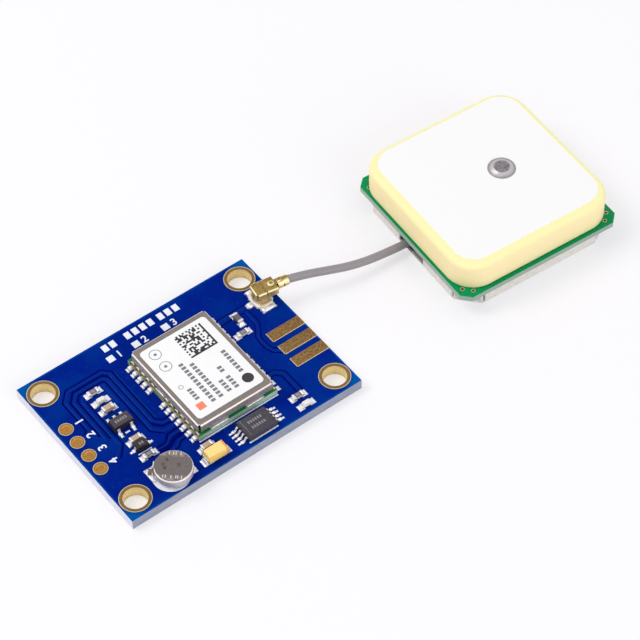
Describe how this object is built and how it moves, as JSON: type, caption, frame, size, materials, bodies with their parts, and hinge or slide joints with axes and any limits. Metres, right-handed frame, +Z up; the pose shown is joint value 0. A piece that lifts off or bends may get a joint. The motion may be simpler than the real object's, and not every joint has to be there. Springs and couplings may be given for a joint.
{
  "type": "gps module",
  "caption": "Satellite positioning module: a small populated circuit board with a shielded receiver, joined by a short coaxial lead to a square ceramic patch antenna.",
  "frame": {"origin": "centre of the four mounting holes, on the main board's underside", "axes": "+X along the main board's long side towards the antenna, +Y towards the plain long edge, away from the backup cell, +Z up through the board"},
  "size_m": [0.0797, 0.0266, 0.0078],
  "materials": {
    "solder_mask": "glossy blue solder mask",
    "gold_plate": "gold plated copper",
    "tin_plate": "tin plated",
    "solder": "bright solder",
    "nickel_sheet": "nickel silver sheet, satin",
    "green_board": "green solder mask",
    "paper_label": "white printed label",
    "black_case": "moulded black epoxy",
    "yellow_case": "moulded yellow epoxy",
    "tan_ceramic": "fired tan ceramic",
    "white_ceramic": "fired white ceramic",
    "glass_coat": "dark glass coat",
    "clear_lens": "clear epoxy",
    "light_die": "semiconductor die",
    "cream_plastic": "moulded cream plastic",
    "lead_jacket": "grey fluoroplastic jacket",
    "bare_copper": "bare copper",
    "cream_ceramic": "unglazed cream ceramic",
    "fired_silver": "matte fired silver",
    "tray_sheet": "matte tinned sheet"
  },
  "bodies": {
    "root": {"circuit_board": "solder_mask", "mounting_hole_plating": "gold_plate", "header_hole_plating": "gold_plate", "edge_pads": "gold_plate", "component_pads": "tin_plate", "receiver_board": "green_board", "receiver_shield": "nickel_sheet", "receiver_label": "paper_label", "receiver_solder": "solder", "receiver_chip": "black_case", "receiver_oscillator": "gold_plate", "receiver_filter": "tin_plate", "backup_cell": "tin_plate", "cell_upper_tab": "nickel_sheet", "cell_lower_tab": "nickel_sheet", "tantalum_case": "yellow_case", "tantalum_terminals": "tin_plate", "memory_chip": "black_case", "memory_leads": "tin_plate", "regulator": "black_case", "regulator_leads": "tin_plate", "diode": "black_case", "diode_leads": "tin_plate", "led_bases": "white_ceramic", "led_lenses": "clear_lens", "led_dies": "light_die", "led_terminals": "gold_plate", "resistor_bodies": "white_ceramic", "resistor_coats": "glass_coat", "resistor_terminals": "tin_plate", "capacitor_bodies": "tan_ceramic", "capacitor_terminals": "tin_plate", "feed_inductor": "glass_coat", "inductor_terminals": "tin_plate", "chip_solder": "solder", "socket_base": "cream_plastic", "socket_shell": "gold_plate", "socket_pin": "gold_plate", "plug_shell": "gold_plate", "plug_insulator": "cream_plastic", "plug_contact": "gold_plate", "antenna_lead": "lead_jacket", "lead_braid": "bare_copper", "lead_core": "bare_copper", "lead_solder": "solder", "antenna_board": "green_board", "antenna_shield": "tray_sheet", "corner_solder": "solder", "ceramic_block": "cream_ceramic", "ground_layer": "fired_silver", "electrode": "fired_silver", "feed_pin": "tin_plate", "feed_solder": "solder", "amplifier_chip": "black_case", "antenna_filter": "gold_plate", "amplifier_chips": "tan_ceramic"}
  },
  "joints": []
}
